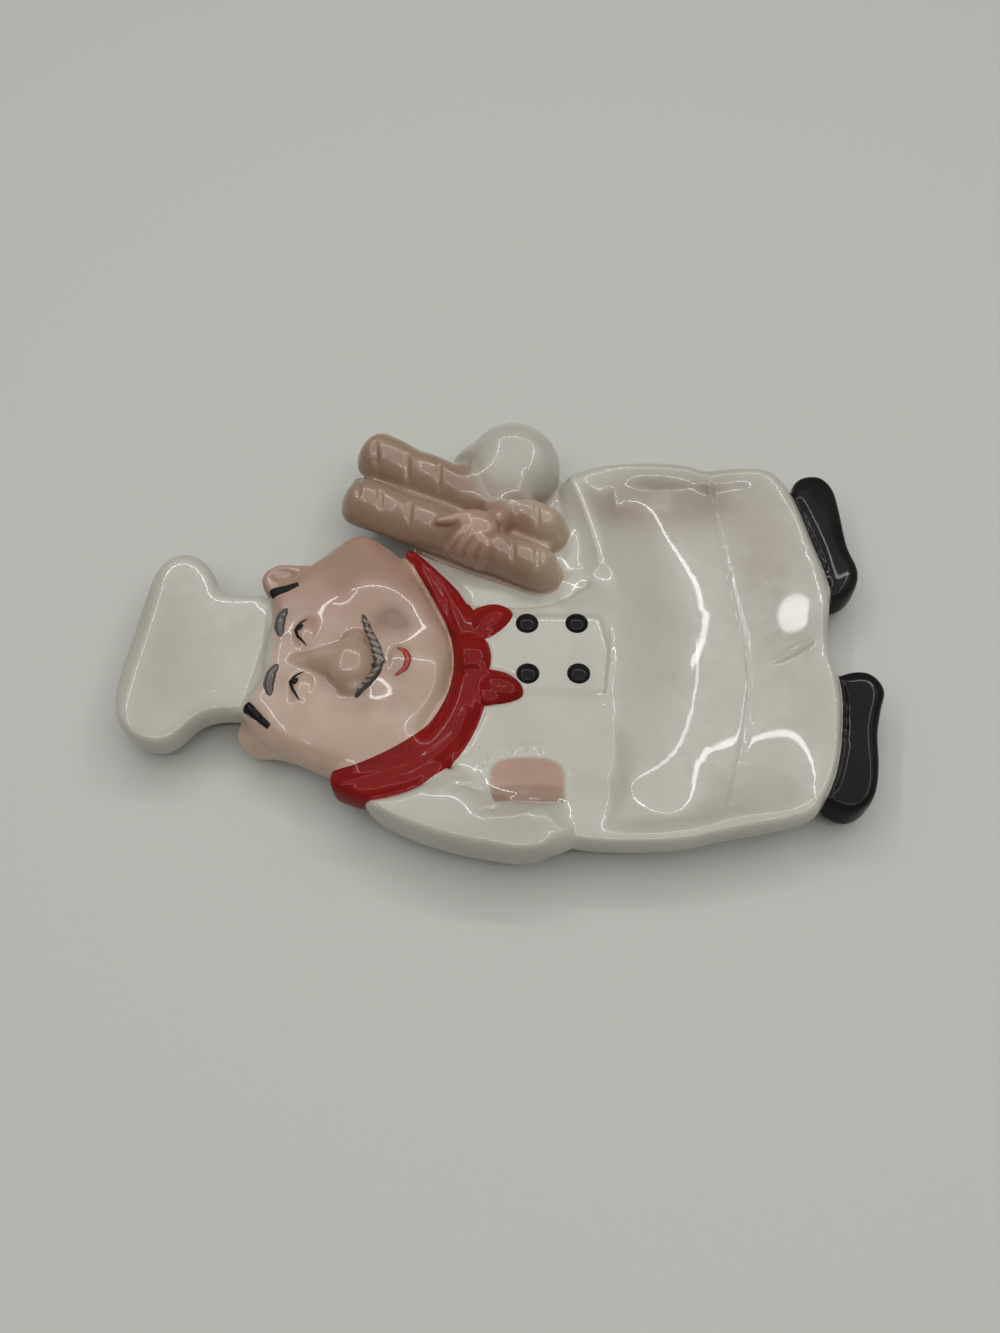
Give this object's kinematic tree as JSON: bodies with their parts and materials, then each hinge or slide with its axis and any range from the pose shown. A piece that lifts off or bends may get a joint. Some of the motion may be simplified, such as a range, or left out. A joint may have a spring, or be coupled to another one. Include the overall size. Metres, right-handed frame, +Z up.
{
  "type": "spoon rest",
  "caption": "Glazed ceramic spoon rest shaped as a reclining chef with loaves under one arm; the apron is a shallow bowl that holds a cooking spoon.",
  "frame": {"origin": "on the table, under the middle of the figure's outline", "axes": "+X from the hat to the shoes, +Y towards the loaves, +Z up from the table"},
  "size_m": [0.2356, 0.155, 0.0331],
  "materials": {
    "white_glaze": "gloss",
    "black_glaze": "gloss",
    "skin_glaze": "gloss",
    "pink_glaze": "gloss",
    "bread_glaze": "gloss",
    "red_glaze": "gloss",
    "red_paint": "gloss",
    "grey_paint": "gloss",
    "bare_clay": "matte"
  },
  "bodies": {
    "root": {"foot_ring": "bare_clay", "dish": "white_glaze", "jacket_hem": "white_glaze", "shoe_near": "black_glaze", "shoe_far": "black_glaze", "jacket_front": "white_glaze", "placket": "white_glaze", "button_1": "black_glaze", "button_2": "black_glaze", "button_3": "black_glaze", "button_4": "black_glaze", "sleeve_near": "white_glaze", "cuff_near": "white_glaze", "wrist_near": "pink_glaze", "shoulder_far": "white_glaze", "elbow_far": "white_glaze", "forearm_far": "pink_glaze", "hand_far": "pink_glaze", "finger_1": "pink_glaze", "finger_2": "pink_glaze", "finger_3": "pink_glaze", "finger_4": "pink_glaze", "loaf_inner": "bread_glaze", "loaf_outer": "bread_glaze", "kerchief_band": "red_glaze", "kerchief_knot": "red_glaze", "tail_near": "red_glaze", "tail_far": "red_glaze", "head": "skin_glaze", "nose": "skin_glaze", "ear_near": "skin_glaze", "ear_far": "skin_glaze", "eyebrow_near": "grey_paint", "eyebrow_far": "grey_paint", "eyelid_near": "skin_glaze", "eyelid_far": "skin_glaze", "moustache": "grey_paint", "mouth": "red_paint", "sideburn_near": "black_glaze", "sideburn_far": "black_glaze", "hat": "white_glaze"}
  },
  "joints": []
}
